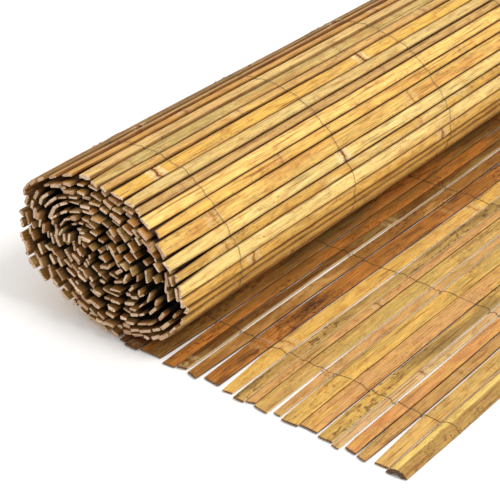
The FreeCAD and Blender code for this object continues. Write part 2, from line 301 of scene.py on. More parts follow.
def makeSway():
    tree, begin, end = newTree(
        "sharedSway", "GeometryNodeTree",
        [("Position", "Vector", None), ("Amount", "Float", 2 * millimetre)], [("Offset", "Vector", None)],
    )
    place = vectors(tree, "MULTIPLY", begin["Position"], swayShape["stretch"])
    noise = noiseAt(tree, place, swayShape["scale"], 1.0).outputs["Color"]
    wander = vectors(tree, "SUBTRACT", noise, (0.5, 0.5, 0.5))
    height = parted(tree, begin["Position"])[2]
    lift = remap(tree, height, swayShape["liftFrom"], swayShape["liftTo"])
    directions = joined(tree, swayShape["sidewards"], 0.0, lift)
    offset = vectors(tree, "MULTIPLY", scaled(tree, wander, begin["Amount"]), directions)
    tree.links.new(offset, end["Offset"])
    return tree


sway = makeSway()


# What every slat's cut has in common. Noise scales are across, along or through the slat
cutShape = {
    # how far each slat's grain is shifted along, so that its knots fall elsewhere
    "phaseShift": 7.0,
    # how far apart the edges and slats lie in the noise
    "sideStep": 3.1,
    "slatStep": 41.0,
    "slowStep": 17.0,
    "edgeScale": 22.0,
    "edgeMiddle": 0.55,
    "edgeGain": 4.0,
    "wanderScale": 5.5,
    "wanderLow": 0.42,
    "wanderHigh": 0.72,
    "knotReach": 14 * millimetre,
    "faceAcross": 90.0,
    "faceAlong": 9.0,
    "faceMiddle": 0.6,
    "thinReach": 14 * millimetre,
    "chipAcross": 420.0,
    "chipThrough": 700.0,
    "chipReach": 6 * millimetre,
    "slantReach": 22 * millimetre,
    "bowTurn": 6.9,
    "bowStart": 6.283,
    "bowPace": 1.7,
}


def makeSlatTree():
    tree, begin, end = newTree(
        "bentSlats", "GeometryNodeTree",
        [
            ("Slats", "Geometry", None), ("Blank", "Object", None), ("Material", "Material", None),
            ("Taper Length", "Float", 0.07), ("Edge Roughness", "Float", 0.35 * millimetre),
            ("Face Roughness", "Float", 0.25 * millimetre), ("Knot Spacing", "Float", 0.31),
            ("Knot Swell", "Float", 0.5 * millimetre), ("Bow", "Float", 0.3 * millimetre),
            ("Sway", "Float", 2 * millimetre), ("Chipping", "Float", 1.6 * millimetre),
            ("Edge Wander", "Float", 1.0 * millimetre),
        ],
        [("Slats", "Geometry", None)],
    )

    def named(name, kind="FLOAT_VECTOR"):
        return add(tree, "GeometryNodeInputNamedAttribute", {"Name": name}, data_type=kind).outputs["Attribute"]

    blank = add(tree, "GeometryNodeObjectInfo", {"Object": begin["Blank"]}).outputs["Geometry"]
    placed = add(tree, "GeometryNodeInstanceOnPoints", {"Points": begin["Slats"], "Instance": blank})
    real = add(tree, "GeometryNodeRealizeInstances", {"Geometry": placed.outputs["Instances"]})

    u, v, w = parted(tree, add(tree, "GeometryNodeInputPosition").outputs[0])
    width, length, thickness = parted(tree, named("span"))
    trimU, trimV, trimW = parted(tree, named("trim"))
    narrowLeft, narrowRight, thinning = parted(tree, named("narrowing"))
    slopeNear, slopeFar, lean = parted(tree, named("slope"))
    phase = named("phase", "FLOAT")
    nearDistance = times(tree, v, length)
    farDistance = minus(tree, length, nearDistance)
    grainY = timesPlus(tree, phase, cutShape["phaseShift"], nearDistance)

    # across: the tapered near end and the rough split edges
    x = grainX = timesPlus(tree, u, width, trimU)
    taper = remap(tree, nearDistance, 0.0, begin["Taper Length"], 1.0, 0.0)
    fromLeft = plus(tree, 0.5, u)
    pullLeft = times(tree, narrowLeft, minus(tree, 1.0, fromLeft))
    pull = minus(tree, pullLeft, times(tree, narrowRight, fromLeft))
    x = timesPlus(tree, pull, taper, x)
    # each edge of each slat has a place of its own in the noise
    ownPlace = times(tree, phase, cutShape["slatStep"])
    edgeSide = timesPlus(tree, maths(tree, "SIGN", u), cutShape["sideStep"], ownPlace)
    edgePlace = joined(tree, times(tree, grainY, cutShape["edgeScale"]), edgeSide, w)
    edgeNoise = noiseAt(tree, edgePlace, 1.0, 1.0, 0.5).outputs[0]
    edgePush = times(tree, minus(tree, edgeNoise, cutShape["edgeMiddle"]), u)
    x = timesPlus(tree, edgePush, times(tree, begin["Edge Roughness"], cutShape["edgeGain"]), x)

    # slow bites out of both edges. An edge is half a width out, so twice that is a full step in
    slowSide = plus(tree, edgeSide, cutShape["slowStep"])
    slowPlace = joined(tree, times(tree, grainY, cutShape["wanderScale"]), slowSide, 0.0)
    slowNoise = noiseAt(tree, slowPlace, 1.0, 1.0).outputs[0]
    slowNoise = remap(tree, slowNoise, cutShape["wanderLow"], cutShape["wanderHigh"])
    wander = times(tree, times(tree, slowNoise, begin["Edge Wander"]), named("wander", "FLOAT"))
    x = timesPlus(tree, times(tree, wander, -2.0), u, x)

    # through: knots swell the bark face, and the ends are thinned by the cut
    z = grainZ = timesPlus(tree, w, thickness, trimW)
    toKnot = maths(tree, "PINGPONG", grainY, times(tree, begin["Knot Spacing"], 0.5))
    knot = remap(tree, toKnot, 0.0, cutShape["knotReach"], 1.0, 0.0, smooth=True)
    barkFace = maths(tree, "ADD", w, 0.5, clamp=True)
    z = timesPlus(tree, times(tree, knot, begin["Knot Swell"]), barkFace, z)
    faceX, faceY = times(tree, x, cutShape["faceAcross"]), times(tree, grainY, cutShape["faceAlong"])
    facePlace = joined(tree, faceX, faceY, phase)
    faceNoise = minus(tree, noiseAt(tree, facePlace, 1.0).outputs[0], cutShape["faceMiddle"])
    facePush = times(tree, faceNoise, begin["Face Roughness"])
    z = timesPlus(tree, facePush, times(tree, barkFace, 2.0), z)
    nearEnd = remap(tree, nearDistance, 0.0, cutShape["thinReach"], 1.0, 0.0, smooth=True)
    z = times(tree, z, minus(tree, 1.0, times(tree, nearEnd, thinning)))

    # along: slanting, chipped ends
    y = nearDistance
    chipPlace = joined(tree, times(tree, x, cutShape["chipAcross"]), phase, times(tree, z, cutShape["chipThrough"]))
    chip = minus(tree, noiseAt(tree, chipPlace, 1.0, 1.0).outputs[0], 0.5)
    chip = times(tree, chip, times(tree, begin["Chipping"], 2.0))
    for slope, distance in ((slopeNear, nearDistance), (slopeFar, farDistance)):
        slantShare = remap(tree, distance, 0.0, cutShape["slantReach"], 1.0, 0.0)
        chipShare = remap(tree, distance, 0.0, cutShape["chipReach"], 1.0, 0.0)
        y = plus(tree, y, times(tree, times(tree, slope, u), slantShare))
        y = timesPlus(tree, chip, chipShare, y)

    # each slat's own bow and lean
    turning = timesPlus(tree, nearDistance, cutShape["bowTurn"], times(tree, phase, cutShape["bowStart"]))
    bow = times(tree, maths(tree, "COSINE", times(tree, turning, cutShape["bowPace"])), begin["Bow"])
    z = plus(tree, z, timesPlus(tree, x, lean, bow))
    z = minus(tree, z, named("sink", "FLOAT"))

    start = parted(tree, named("middle"))[1]
    place = vectors(tree, "MULTIPLY", named("middle"), (1.0, 0.0, 1.0))
    place = vectors(tree, "ADD", place, scaled(tree, named("across"), x))
    place = vectors(tree, "ADD", place, scaled(tree, named("outward"), z))
    place = vectors(tree, "ADD", place, joined(tree, 0.0, plus(tree, start, y), 0.0))
    swaying = add(tree, "GeometryNodeGroup", node_tree=sway)
    tree.links.new(place, swaying.inputs["Position"])
    tree.links.new(begin["Sway"], swaying.inputs["Amount"])
    place = vectors(tree, "ADD", place, swaying.outputs["Offset"])

    # the grain's place and the way to the nearer end are kept before the points move
    grain = joined(tree, grainX, grainY, grainZ)
    fromEnd = maths(tree, "MINIMUM", nearDistance, farDistance)
    kept = add(
        tree, "GeometryNodeStoreNamedAttribute",
        {"Geometry": real.outputs["Geometry"], "Name": "grain", "Value": grain},
        data_type="FLOAT_VECTOR", domain="POINT",
    )
    kept = add(
        tree, "GeometryNodeStoreNamedAttribute",
        {"Geometry": kept.outputs["Geometry"], "Name": "fromEnd", "Value": fromEnd},
        data_type="FLOAT", domain="POINT",
    )
    moved = add(
        tree, "GeometryNodeSetPosition", {"Geometry": kept.outputs["Geometry"], "Position": place}
    ).outputs["Geometry"]
    finished = add(tree, "GeometryNodeRealizeInstances", {"Geometry": moved}).outputs["Geometry"]
    painted = add(tree, "GeometryNodeSetMaterial", {"Geometry": finished, "Material": begin["Material"]})
    tree.links.new(painted.outputs["Geometry"], end["Slats"])
    return tree


slatTree = makeSlatTree()


def slatPoints(name, slats, looks):
    # One point for each slat, which carries everything the tree needs to cut it
    mesh = bpy.data.meshes.new(name)
    mesh.vertices.add(len(slats))
    columns = {
        "middle": [(slat["middle"].x, slat["start"], slat["middle"].z) for slat in slats],
        "across": [slat["across"] for slat in slats],
        "outward": [slat["outward"] for slat in slats],
        "span": [(slat["width"], slat["length"], slat["thickness"]) for slat in slats],
        "narrowing": [look["narrowing"] for look in looks],
        "slope": [look["slope"] for look in looks],
    }
    for label, values in columns.items():
        layer = mesh.attributes.new(label, "FLOAT_VECTOR", "POINT")
        layer.data.foreach_set("vector", [number for value in values for number in value])
    for label in ("tone", "streakTone", "patchTone"):
        layer = mesh.attributes.new(label, "FLOAT_COLOR", "POINT")
        layer.data.foreach_set("color", [number for look in looks for number in look[label]])
    for label in ("phase", "mottling", "patchShare", "knotShare", "wander", "sink"):
        layer = mesh.attributes.new(label, "FLOAT", "POINT")
        layer.data.foreach_set("value", [look[label] for look in looks])
    return mesh


# Bamboo finishes
fibreShape = {
    "seedStep": 53.0,
    "streakRelief": 1.5,
    # each layer: noise scales across and along the slat, place in the noise, detail and roughness
    "streaks": (330.0, 9.0, 0.0, 3.0, 0.65),
    "fibres": (800.0, 34.0, 4.0, 3.0, 0.7),
    "lines": (560.0, 10.0, 9.0, 2.0, 0.7),
    "stains": (190.0, 60.0, 15.0, 4.0, 0.7),
    "patches": (60.0, 9.0, 21.0, 3.0, 0.6),
    "blots": (330.0, 130.0, 33.0, 3.0, 0.65),
    "blotGroups": (45.0, 8.0, 41.0, 1.0, 0.5),
    # where each layer's noise begins to count, and where it counts in full
    "reach": {
        "streaks": (0.36, 0.64), "lines": (0.58, 0.70), "stains": (0.50, 0.70), "patches": (0.50, 0.62),
        "blots": (0.53, 0.60), "blotGroups": (0.50, 0.62),
    },
}


def makeFibres():
    masks = ("Streaks", "Fibres", "Dark Lines", "Stains", "Blots", "Patches", "Relief")
    tree, begin, end = newTree(
        "bambooFibres", "ShaderNodeTree",
        [("Grain", "Vector", None), ("Seed", "Float", 0.0)], [(mask, "Float", None) for mask in masks],
    )
    x, y = parted(tree, begin["Grain"])[:2]
    seed = times(tree, begin["Seed"], fibreShape["seedStep"])

    def layer(name):
        across, along, shift, detail, roughness = fibreShape[name]
        place = joined(tree, times(tree, x, across), times(tree, y, along), plus(tree, seed, shift))
        return noiseAt(tree, place, 1.0, detail, roughness).outputs[0]

    def counted(name, noise):
        return remap(tree, noise, *fibreShape["reach"][name])

    streaks = layer("streaks")
    fibres = layer("fibres")
    blots = times(tree, counted("blots", layer("blots")), counted("blotGroups", layer("blotGroups")))
    for label, value in (
        ("Streaks", counted("streaks", streaks)),
        ("Fibres", fibres),
        ("Dark Lines", counted("lines", layer("lines"))),
        ("Stains", counted("stains", layer("stains"))),
        ("Blots", blots),
        ("Patches", counted("patches", layer("patches"))),
        ("Relief", plus(tree, fibres, times(tree, streaks, fibreShape["streakRelief"]))),
    ):
        tree.links.new(value, end[label])
    return tree


knotShape = {
    "seedStep": 31.0,
    # the knot's line wanders along the slat
    "wobbleAcross": 260.0,
    "wobbleAlong": 60.0,
    "wobble": 8 * millimetre,
    # distances from the knot at which each mark begins to fade, and is gone
    "band": (2 * millimetre, 11 * millimetre),
    "ridge": (0.3 * millimetre, 1.4 * millimetre),
    "scarPlace": 6 * millimetre,
    "scar": (2 * millimetre, 5 * millimetre),
    "raggedScale": 330.0,
    "ragged": (0.40, 0.56),
    # specks lie in groups, and on the knots
    "speckAcross": 620.0,
    "speckAlong": 240.0,
    "speck": (0.12, 0.32),
    "groupAcross": 110.0,
    "groupAlong": 14.0,
    "group": (0.56, 0.68),
    "specksOnKnots": 0.9,
}


def makeKnots():
    tree, begin, end = newTree(
        "bambooKnots", "ShaderNodeTree",
        [("Grain", "Vector", None), ("Seed", "Float", 0.0), ("Spacing", "Float", 0.31)],
        [(mask, "Float", None) for mask in ("Band", "Ridge", "Scar", "Specks")],
    )
    x, y = parted(tree, begin["Grain"])[:2]
    seed = times(tree, begin["Seed"], knotShape["seedStep"])

    def fading(value, name, smooth=False):
        low, high = knotShape[name]
        return remap(tree, value, low, high, 1.0, 0.0, smooth=smooth)

    wobblePlace = joined(
        tree, times(tree, x, knotShape["wobbleAcross"]), seed, times(tree, y, knotShape["wobbleAlong"])
    )
    wobble = minus(tree, noiseAt(tree, wobblePlace, 1.0).outputs[0], 0.5)
    along = timesPlus(tree, wobble, knotShape["wobble"], y)
    toKnot = maths(tree, "PINGPONG", along, times(tree, begin["Spacing"], 0.5))
    raggedPlace = scaled(tree, begin["Grain"], knotShape["raggedScale"])
    ragged = remap(tree, noiseAt(tree, raggedPlace, 1.0, 3.0, 0.7).outputs[0], *knotShape["ragged"])
    band = fading(toKnot, "band", smooth=True)
    fromScar = maths(tree, "ABSOLUTE", minus(tree, toKnot, knotShape["scarPlace"]))
    scar = fading(fromScar, "scar", smooth=True)

    speckPlace = joined(
        tree, times(tree, x, knotShape["speckAcross"]), times(tree, y, knotShape["speckAlong"]), seed
    )
    cells = add(
        tree, "ShaderNodeTexVoronoi", {"Vector": speckPlace, "Scale": 1.0, "Randomness": 1.0}, feature="F1"
    ).outputs["Distance"]
    groupPlace = joined(
        tree, times(tree, x, knotShape["groupAcross"]), times(tree, y, knotShape["groupAlong"]), seed
    )
    grouped = remap(tree, noiseAt(tree, groupPlace, 1.0, 1.0).outputs[0], *knotShape["group"])
    grouped = maths(tree, "MAXIMUM", grouped, times(tree, band, knotShape["specksOnKnots"]))

    tree.links.new(times(tree, band, ragged), end["Band"])
    tree.links.new(fading(toKnot, "ridge"), end["Ridge"])
    tree.links.new(times(tree, scar, ragged), end["Scar"])
    tree.links.new(times(tree, fading(cells, "speck"), grouped), end["Specks"])
    return tree


fibreGroup = makeFibres()
knotGroup = makeKnots()


def makeBamboo(name, finish):
    material = bpy.data.materials.new(name)
    material.use_nodes = True
    tree = material.node_tree
    shader = tree.nodes["Principled BSDF"]

    def carried(name, output="Fac"):
        return add(tree, "ShaderNodeAttribute", attribute_name=name).outputs[output]

    def ownShare(step):
        # between 0 and 1, the same all over a slat
        return maths(tree, "FRACT", times(tree, seed, step))

    grain, seed = carried("grain", "Vector"), carried("phase")
    fibres = add(tree, "ShaderNodeGroup", node_tree=fibreGroup)
    knots = add(tree, "ShaderNodeGroup", node_tree=knotGroup)
    for group in (fibres, knots):
        tree.links.new(grain, group.inputs["Grain"])
        tree.links.new(seed, group.inputs["Seed"])
    streaks, strands = fibres.outputs["Streaks"], fibres.outputs["Fibres"]

    # body colour: two tones in long streaks and blotches, half of each, and patches of a third
    x, y, z = parted(tree, grain)
    blotchPlace = joined(
        tree, times(tree, x, finish["blotchAcross"]), times(tree, y, finish["blotchAlong"]),
        times(tree, seed, finish["blotchStep"]),
    )
    blotch = remap(tree, noiseAt(tree, blotchPlace, 1.0, 3.0, 0.6).outputs[0], *finish["blotch"])
    share = timesPlus(tree, streaks, 0.5, times(tree, blotch, 0.5))
    share = times(tree, share, carried("mottling"))
    body = blended(tree, share, carried("tone", "Color"), carried("streakTone", "Color"))
    patchShare = carried("patchShare")
    body = blended(tree, times(tree, fibres.outputs["Patches"], patchShare), body, carried("patchTone", "Color"))
    if "ridgeTone" in finish:
        # bark whose crown is rubbed bright, with a rough brown flank beyond it
        start, stop = finish["ridgeStart"], finish["ridgeEnd"]
        edge = timesPlus(tree, minus(tree, strands, 0.5), finish["ridgeRagged"], x)
        flank = remap(tree, edge, stop, stop + finish["flankFade"])
        crown = minus(tree, remap(tree, edge, start, start + finish["ridgeFade"]), flank)
        body = blended(tree, times(tree, flank, finish["flankStrength"]), body, colour(finish["flankTone"]))
        crown = maths(tree, "MULTIPLY", crown, finish["ridgeStrength"], clamp=True)
        body = blended(tree, crown, body, colour(finish["ridgeTone"]))
    light = remap(tree, strands, 0.25, 0.75, 1.0 - finish["fibreContrast"], 1.0 + finish["fibreContrast"])
    body = blended(tree, 1.0, body, joined(tree, light, light, light), "MULTIPLY")
    blotShare = times(tree, maths(tree, "POWER", patchShare, 2.0), finish["blotStrength"])
    for mask, strength, tone in (
        ("Dark Lines", finish["lineStrength"], "lineTone"),
        ("Blots", blotShare, "blotTone"),
        ("Stains", finish["stainStrength"], "stainTone"),
    ):
        body = blended(tree, times(tree, fibres.outputs[mask], strength), body, colour(finish[tone]), "MULTIPLY")

    # knots and specks
    knotShare = carried("knotShare")
    band = times(tree, knots.outputs["Band"], knotShare)
    body = blended(tree, times(tree, band, finish["knotStrength"]), body, colour(finish["knotTone"]))
    scar = times(tree, knots.outputs["Scar"], times(tree, knotShare, finish["scarStrength"]))
    body = blended(tree, scar, body, colour(finish["scarTone"]))
    ridge = times(tree, knots.outputs["Ridge"], times(tree, knotShare, finish["knotLineStrength"]))
    body = blended(tree, ridge, body, colour(finish["speckTone"]))
    specks = times(tree, knots.outputs["Specks"], finish["speckStrength"])
    body = blended(tree, specks, body, colour(finish["speckTone"]))

    # split sides and inner face, with painted shade on the bark flanks of the roll's outer slats, then the cut ends
    sideAndEdgeShade = remap(tree, carried("rim"), finish["rimStart"], finish["rimFull"], smooth=True)
    sideAndEdgeShade = times(tree, sideAndEdgeShade, finish["rimStrength"])
    ownRim = remap(tree, ownShare(finish["rimStep"]), 0.0, 1.0, finish["rimLeast"], 1.0)
    body = blended(tree, times(tree, sideAndEdgeShade, ownRim), body, colour(finish["sideTone"]))
    porePlace = joined(
        tree, times(tree, x, finish["poreAcross"]), times(tree, seed, finish["poreStep"]),
        times(tree, z, finish["poreThrough"]),
    )
    pores = noiseAt(tree, porePlace, 1.0, 2.0, 0.7).outputs[0]
    endTone = blended(tree, ownShare(finish["endStep"]), colour(finish["endTan"]), colour(finish["endTone"]))
    endTone = blended(tree, remap(tree, pores, *finish["pore"]), colour(finish["endDark"]), endTone)
    cut = carried("cut")
    body = blended(tree, remap(tree, cut, *finish["cut"]), body, endTone)
    inside = times(tree, remap(tree, carried("fromEnd"), *finish["inner"]), finish["innerStrength"])
    body = blended(tree, inside, body, colour(finish["innerTone"]))
    roughness = remap(tree, streaks, 0.0, 1.0, finish["roughLow"], finish["roughHigh"])
    tree.links.new(body, shader.inputs["Base Color"])
    tree.links.new(roughness, shader.inputs["Roughness"])
    shader.inputs["Specular IOR Level"].default_value = finish["specular"]

    height = timesPlus(tree, pores, cut, fibres.outputs["Relief"])
    height = minus(tree, height, times(tree, knots.outputs["Specks"], finish["speckDepth"]))
    bumpInputs = {"Strength": finish["bump"], "Distance": finish["bumpDepth"], "Height": height}
    relief = add(tree, "ShaderNodeBump", bumpInputs)
    tree.links.new(relief.outputs["Normal"], shader.inputs["Normal"])
    return material


bambooFinish = {
    # blotches and pores: noise scales across, along or through the slat, and where the noise counts
    "blotchAcross": 70.0,
    "blotchAlong": 11.0,
    "blotch": (0.38, 0.66),
    "poreAcross": 900.0,
    "poreThrough": 1100.0,
    "pore": (0.3, 0.55),
    # how far apart the slats lie in the noise, or in what is their own
    "blotchStep": 90.0,
    "poreStep": 60.0,
    "rimStep": 57.0,
    "endStep": 91.0,
    "fibreContrast": 0.4,
    # lines, blots and stains are glazes that darken the tone under them
    "lineTone": "#A87A4C",
    "lineStrength": 0.7,
    "blotTone": "#7A5226",
    "blotStrength": 0.6,
    "stainTone": "#C89C66",
    "stainStrength": 0.6,
    # shade between the turns, which grows with the way in from the end
    "innerTone": "#2C1408",
    "innerStrength": 0.0,
    "inner": (1 * millimetre, 8.5 * millimetre),
    "knotTone": "#9A5426",
    "knotStrength": 0.85,
    "scarTone": "#F0D8A0",
    "scarStrength": 0.7,
    "knotLineStrength": 0.85,
    "speckTone": "#54300F",
    "speckStrength": 0.75,
    "sideTone": "#6E4016",
    "rimStart": 0.2,
    "rimFull": 0.9,
    "rimLeast": 1.0,
    "rimStrength": 0.9,
    "cut": (0.35, 0.9),
    # the pale end tones are partly the cut wood's own colour and partly painted light, as the near ends catch little
    # of the key lamp
    "endTone": "#FFE0BC",
    "endTan": "#CCA07A",
    "endDark": "#50321A",
    "roughLow": 0.5,
    "roughHigh": 0.68,
    "specular": 0.35,
    "bump": 0.7,
    "bumpDepth": 0.35 * millimetre,
    "speckDepth": 0.8,
}
# On the roll the side tone counts from a very small share, so it reaches in over the bark flanks as painted shade
rollFinish = {
    **bambooFinish, "sideTone": "#5C2806", "rimStart": 0.02, "rimLeast": 0.6, "fibreContrast": 0.46,
    "lineStrength": 0.85,
}
secondFinish = {**bambooFinish, "sideTone": "#7E5830", "innerStrength": 0.93, "innerTone": "#341804"}
innerFinish = {**bambooFinish, "sideTone": "#7E5830", "innerStrength": 0.98, "innerTone": "#140A04"}
tailFinish = {
    **bambooFinish, "sideTone": "#E2C492", "rimStrength": 0.85, "lineStrength": 0.9, "blotStrength": 0.9,
    "endTone": "#8A6238", "endTan": "#5E4022",
}
rollBamboo = makeBamboo("dryRollBamboo", rollFinish)
secondBamboo = makeBamboo("secondTurnBamboo", secondFinish)
innerBamboo = makeBamboo("shadedInnerBamboo", innerFinish)
tailBamboo = makeBamboo("dryTailBamboo", tailFinish)
darkSidedBamboo = makeBamboo("darkSidedTailBamboo", {**tailFinish, "sideTone": "#54300F"})
print("bamboo finishes made")

# Tones of split bamboo as they dry, seen in soft light
tones = {
    "straw": "#DEB25E",
    "paleStraw": "#E8CA80",
    "gold": "#D8A84E",
    "brightGold": "#E6B54A",
    "amber": "#BB8339",
    "tan": "#CA9C58",
    "paleTan": "#D0B078",
    "pinkTan": "#C49064",
    "olive": "#B4954E",
    "darkOlive": "#92723A",
    "salmon": "#CC965A",
    "orange": "#C67E32",
    "brown": "#A67232",
    "umber": "#8A5A20",
    "darkBrown": "#54300F",
    "redBrown": "#915423",
}

# The tail's slats, one piece each
tailLooks = {
    # main, streak and patch tones, mottling, patches, edge wander, how much narrower the near end is on its
    # left and right in mm, how far it closes the gap to the next slat in mm, and where its knots fall
    # The slats beside the roll, 01 to 07, have dark tones that are partly their own colour and partly painted shadow
    # cast by the roll, most of all 01 to 03 along the crevice under it
    "tail_slat_01": ("darkBrown", "umber", "umber", 0.8, 0.4, 0.2, 0.0, 0.0, 0.5, 0.10),
    "tail_slat_02": ("darkBrown", "redBrown", "redBrown", 0.7, 0.5, 0.3, 0.6, 0.6, 0.6, 0.62),
    "tail_slat_03": ("darkOlive", "redBrown", "orange", 0.9, 0.8, 0.4, 0.5, 2.6, 0.7, 0.35),
    "tail_slat_04": ("brown", "umber", "orange", 0.9, 0.9, 1.0, 2.2, 0.0, 0.6, 0.81),
    "tail_slat_05": ("umber", "darkBrown", "darkOlive", 0.8, 0.9, 1.3, 0.0, 0.8, 0.0, 0.22),
    "tail_slat_06": ("brown", "umber", "tan", 1.0, 0.8, 0.5, 0.3, 1.8, 0.3, 0.55),
    "tail_slat_07": ("umber", "orange", "darkBrown", 0.9, 0.9, 0.4, 1.8, 0.4, 0.45, 0.92),
    "tail_slat_08": ("gold", "straw", "salmon", 0.8, 0.5, 0.4, 5.2, 0.7, -0.1, 0.43),
    "tail_slat_09": ("olive", "tan", "darkOlive", 0.8, 0.9, 0.7, 0.6, 0.0, 0.75, 0.71),
    "tail_slat_10": ("salmon", "tan", "olive", 0.9, 0.7, 0.2, 0.0, 0.0, 0.75, 0.15),
    "tail_slat_11": ("olive", "straw", "tan", 0.8, 0.6, 0.5, 0.0, 0.9, 0.2, 0.50),
    "tail_slat_12": ("tan", "salmon", "olive", 0.8, 0.5, 0.5, 0.9, 0.3, 0.0, 0.30),
    "tail_slat_13": ("gold", "straw", "olive", 0.8, 0.7, 0.4, 0.9, 0.0, 0.75, 0.65),
    "tail_slat_14": ("salmon", "tan", "gold", 0.8, 0.6, 0.2, 0.0, 0.4, 0.4, 0.85),
    "tail_slat_15": ("olive", "gold", "darkOlive", 0.9, 0.9, 0.4, 1.0, 0.0, 0.6, 0.05),
    "tail_slat_16": ("paleTan", "tan", "pinkTan", 0.7, 0.6, 0.6, 0.0, 0.7, -0.1, 0.38),
    "tail_slat_17": ("salmon", "orange", "gold", 0.7, 0.6, 0.5, 0.6, 0.8, 0.7, 0.75),
    "tail_slat_18": ("tan", "brown", "olive", 0.8, 0.6, 0.7, 0.4, 1.8, 0.1, 0.20),
    "tail_slat_19": ("straw", "tan", "olive", 0.8, 0.6, 0.5, 3.0, 0.0, 0.7, 0.58),
}
tailShape = {
    "seed": 11,
    "edgeRoughness": 0.3 * millimetre,
    "edgeWander": 1.5 * millimetre,
    "endSlant": 2.4 * millimetre,
    "endThinning": (0.2, 0.5),
    "knotShare": (-0.5, 1.0),
    "chipping": 0.9 * millimetre,
    "ringStep": 0.008,
    # slats whose split sides are dark
    "darkSided": ("01", "02", "03", "04", "06", "07", "10", "13", "14", "17", "18"),
}
tailDice = random.Random(tailShape["seed"])
fineBlank = makeBlank("fineBlank", fineSection, ringPlaces(fineEnds, tailShape["ringStep"]))
slatsOf = {}


def widened(slat, left, right):
    shift = slat["across"] * (right - left) * millimetre / 2
    return {**slat, "middle": slat["middle"] + shift, "width": slat["width"] + (left + right) * millimetre}


closedBefore = 0.0
for name, values in tailLooks.items():
    mainTone, streakTone, patchTone, mottling, patches, wander, nearLeft, nearRight, closed, phase = values
    slat = readSlats(name)[0]
    slatsOf[name] = [slat]
    slat = widened(slat, closedBefore, closed)
    closedBefore = closed
    look = {
        "narrowing": (nearLeft * millimetre, nearRight * millimetre, tailDice.uniform(*tailShape["endThinning"])),
        "slope": (
            tailDice.uniform(-1, 1) * tailShape["endSlant"],
            tailDice.uniform(-1, 1) * tailShape["endSlant"],
            0.0,
        ),
        "tone": colour(tones[mainTone]),
        "streakTone": colour(tones[streakTone]),
        "patchTone": colour(tones[patchTone]),
        "mottling": mottling,
        "patchShare": patches,
        "wander": wander,
        "sink": 0.0,
        "knotShare": max(0.0, tailDice.uniform(*tailShape["knotShare"])),
        "phase": phase,
    }
    piece = grow(
        slatTree, name + "_split", slatPoints(name + "_points", [slat], [look]),
        {
            "Blank": fineBlank, "Edge Roughness": tailShape["edgeRoughness"],
            "Material": darkSidedBamboo if name[-2:] in tailShape["darkSided"] else tailBamboo,
            "Chipping": tailShape["chipping"], "Edge Wander": tailShape["edgeWander"], "Bow": 0.0,
        },
    )
    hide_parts(name)
    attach(piece, "root")
print("tail slats cut:", len(tailLooks))

# The roll, one piece for each turn
rollShape = {
    "seed": 5,
    # the outer turn's tones, in the order of its slats from the ground round the back to the front
    "outerTones": [
        "tan", "straw", "gold", "tan", "olive", "straw", "gold", "tan", "straw", "salmon", "gold", "straw",
        "tan", "olive", "darkOlive", "brown", "umber", "darkOlive", "brown", "amber", "tan", "olive",
        "tan", "brightGold", "paleStraw", "tan", "straw", "gold", "straw", "paleStraw", "gold", "paleStraw",
        "straw", "gold", "straw", "tan", "straw", "gold", "brightGold", "straw", "brightGold", "gold",
    ],
    "outerStreaks": ["tan", "gold", "straw", "olive", "paleStraw"],
    "outerPatches": ["paleStraw", "gold", "olive", "tan", "straw", "amber"],
    "innerTones": ["amber", "olive", "brown", "orange", "tan"],
    "edgeRoughness": 0.25 * millimetre,
    "edgeWander": 1.3 * millimetre,
    "lean": 0.05,
    "sink": 0.7 * millimetre,
    "endSlant": 2.2 * millimetre,
    "endThinning": 0.25,
    "innerThinning": 0.5,
    "leastThinning": 0.3,
    "mottling": (0.3, 0.9),
    "patchShare": (0.1, 0.9),
    "knotShare": (-0.35, 1.25),
    "innerEndShift": 4.0 * millimetre,
    # outer slats whose near ends stand out beyond the others, in mm
    "standingEnds": {14: 3.0, 15: 5.0, 16: 10.0, 17: 9.0, 18: 7.0},
    # outer slats that lie tilted, so that one split side stands clear of the next slat
    "tilted": {15: 0.16, 16: 0.2, 17: 0.1, 18: 0.2, 19: 0.12, 20: 0.15, 24: 0.06, 27: 0.07},
    "tiltedLift": 0.4 * millimetre,
    "shade": (0.84, 1.14),
    "endNarrowing": 0.16,
    "taperLength": 50 * millimetre,
    "bow": 0.25 * millimetre,
    "chipping": 1.8 * millimetre,
    "ringStep": 0.008,
    "plainRingStep": 0.3,
}
rollDice = random.Random(rollShape["seed"])
turnNames = sorted(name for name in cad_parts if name.startswith("turn_"))
plainBlank = makeBlank("plainBlank", plainSection, ringPlaces(plainEnds, rollShape["plainRingStep"]))
outerBlank = makeBlank("outerBlank", archedSection, ringPlaces(fineEnds, rollShape["ringStep"]))


def shaded(name, shade):
    red, green, blue, alpha = colour(tones[name])
    return (red * shade, green * shade, blue * shade, alpha)


def rollLook(slat, mainTone, names, thinning, sink):
    # The looks of one slat, drawn in a fixed order
    spare = slat["width"] * rollShape["endNarrowing"]
    shade = rollDice.uniform(*rollShape["shade"])
    return {
        "narrowing": (
            rollDice.uniform(0, 1) * spare,
            rollDice.uniform(0, 1) * spare,
            rollDice.uniform(rollShape["leastThinning"], 1) * thinning,
        ),
        "slope": (
            rollDice.uniform(-1, 1) * rollShape["endSlant"],
            rollDice.uniform(-1, 1) * rollShape["endSlant"],
            rollDice.uniform(-1, 1) * rollShape["lean"],
        ),
        "tone": shaded(mainTone, shade),
        "streakTone": shaded(rollDice.choice(names), shade),
        "patchTone": shaded(rollDice.choice(rollShape["outerPatches"]), shade),
        "mottling": rollDice.uniform(*rollShape["mottling"]),
        "patchShare": rollDice.uniform(*rollShape["patchShare"]),
        "wander": rollDice.uniform(0, 1) ** 2,
        "sink": rollDice.uniform(0, 1) * sink,
        "knotShare": max(0.0, rollDice.uniform(*rollShape["knotShare"])),
        "phase": rollDice.uniform(0, 1),
    }


